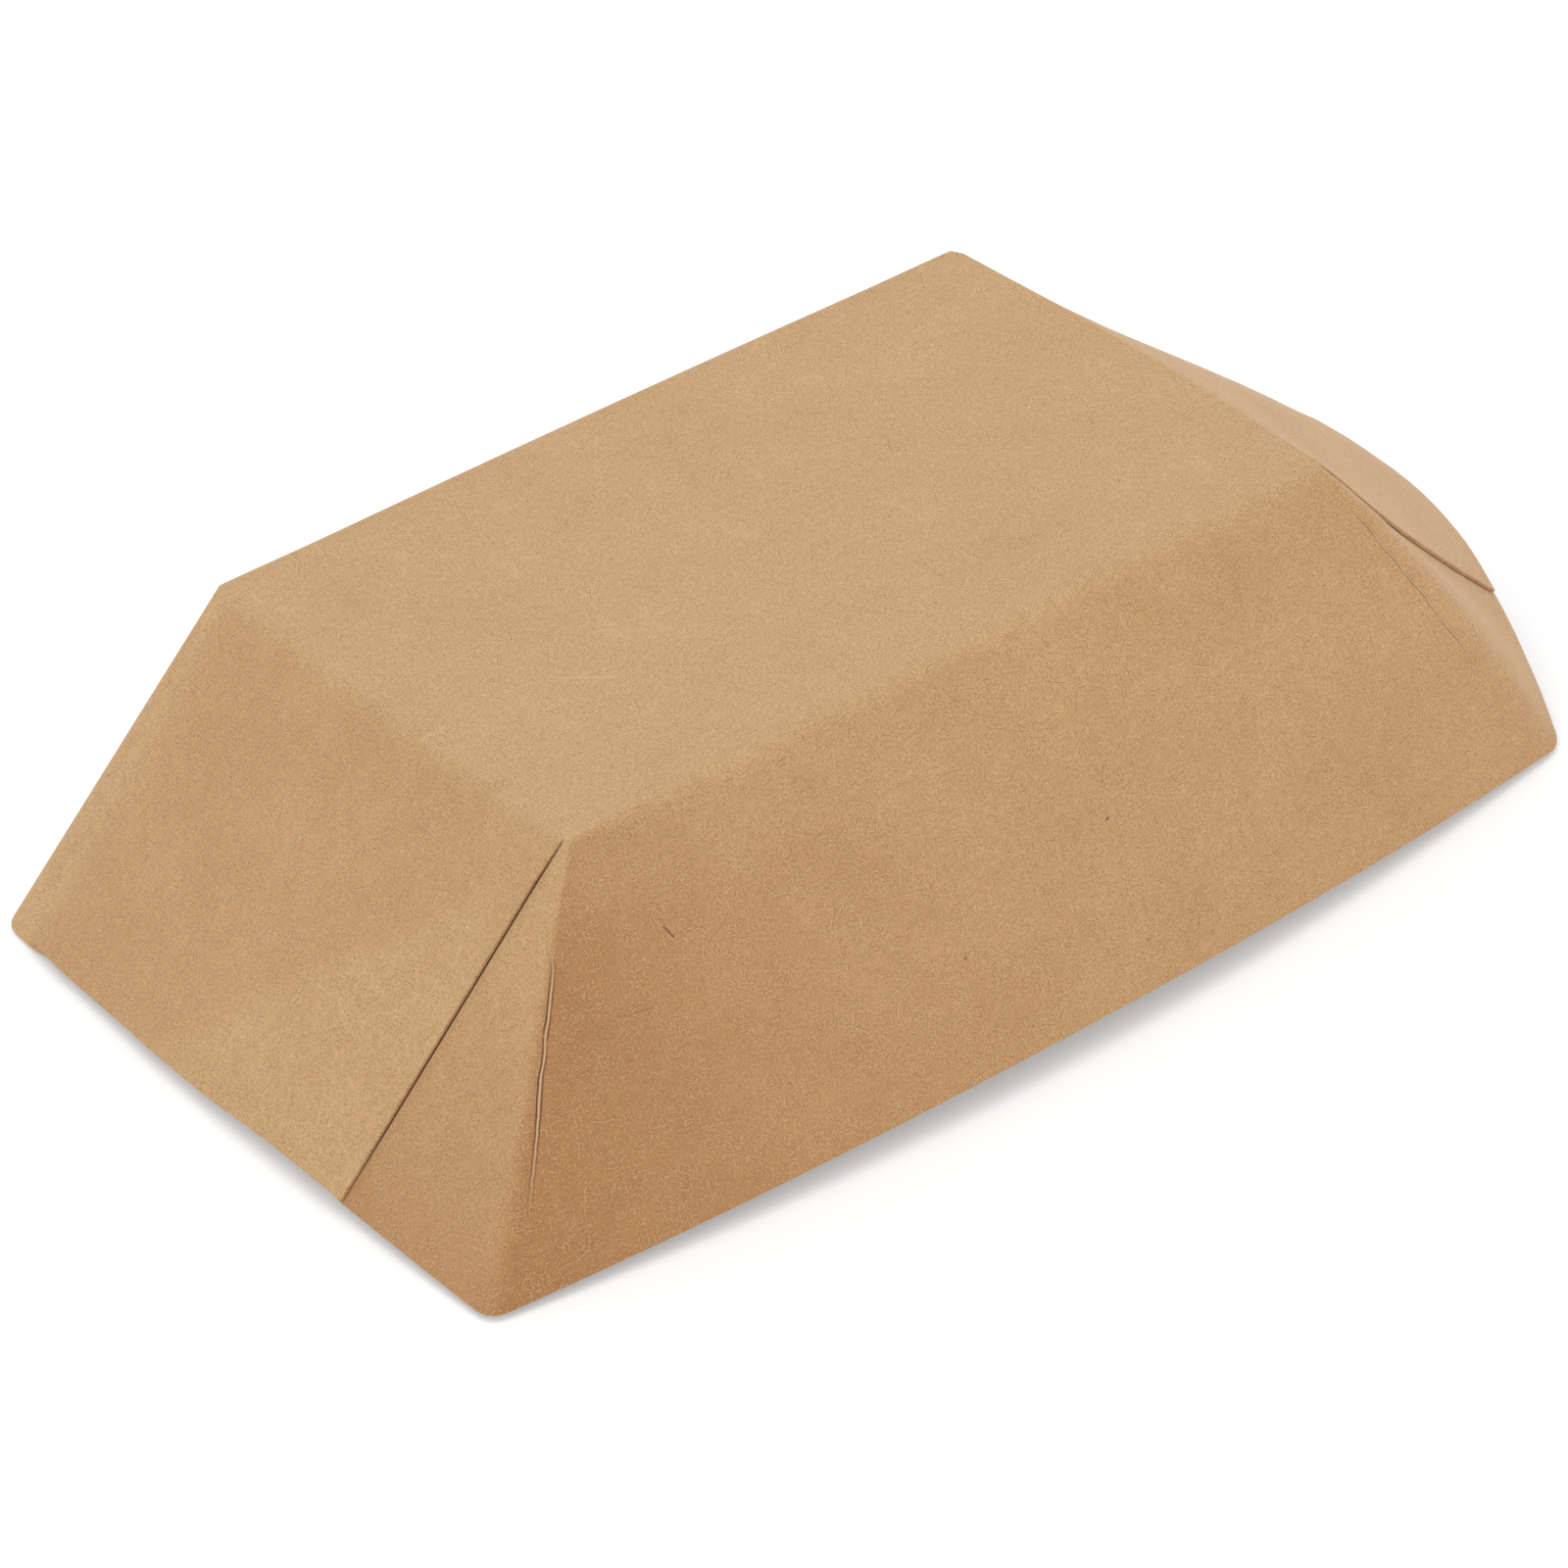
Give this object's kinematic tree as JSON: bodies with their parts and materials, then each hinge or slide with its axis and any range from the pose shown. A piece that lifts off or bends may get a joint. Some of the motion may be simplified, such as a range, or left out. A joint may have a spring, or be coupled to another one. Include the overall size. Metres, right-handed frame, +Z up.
{
  "type": "kraft food tray",
  "caption": "Open paperboard food tray folded from a single sheet, with sloping walls, glued lapped corners and one end wall that flares outwards, standing upside down on its rim.",
  "frame": {"origin": "centre of the tray's box, on the plane that its rim stands on", "axes": "+X along the tray, towards the end wall that flares outwards; +Z up, out of the base panel, because the tray stands upside down as in the picture"},
  "size_m": [0.177, 0.1138, 0.0449],
  "materials": {
    "kraft_board": "matt uncoated brown kraft paperboard"
  },
  "bodies": {
    "root": {"tray": "kraft_board"}
  },
  "joints": []
}
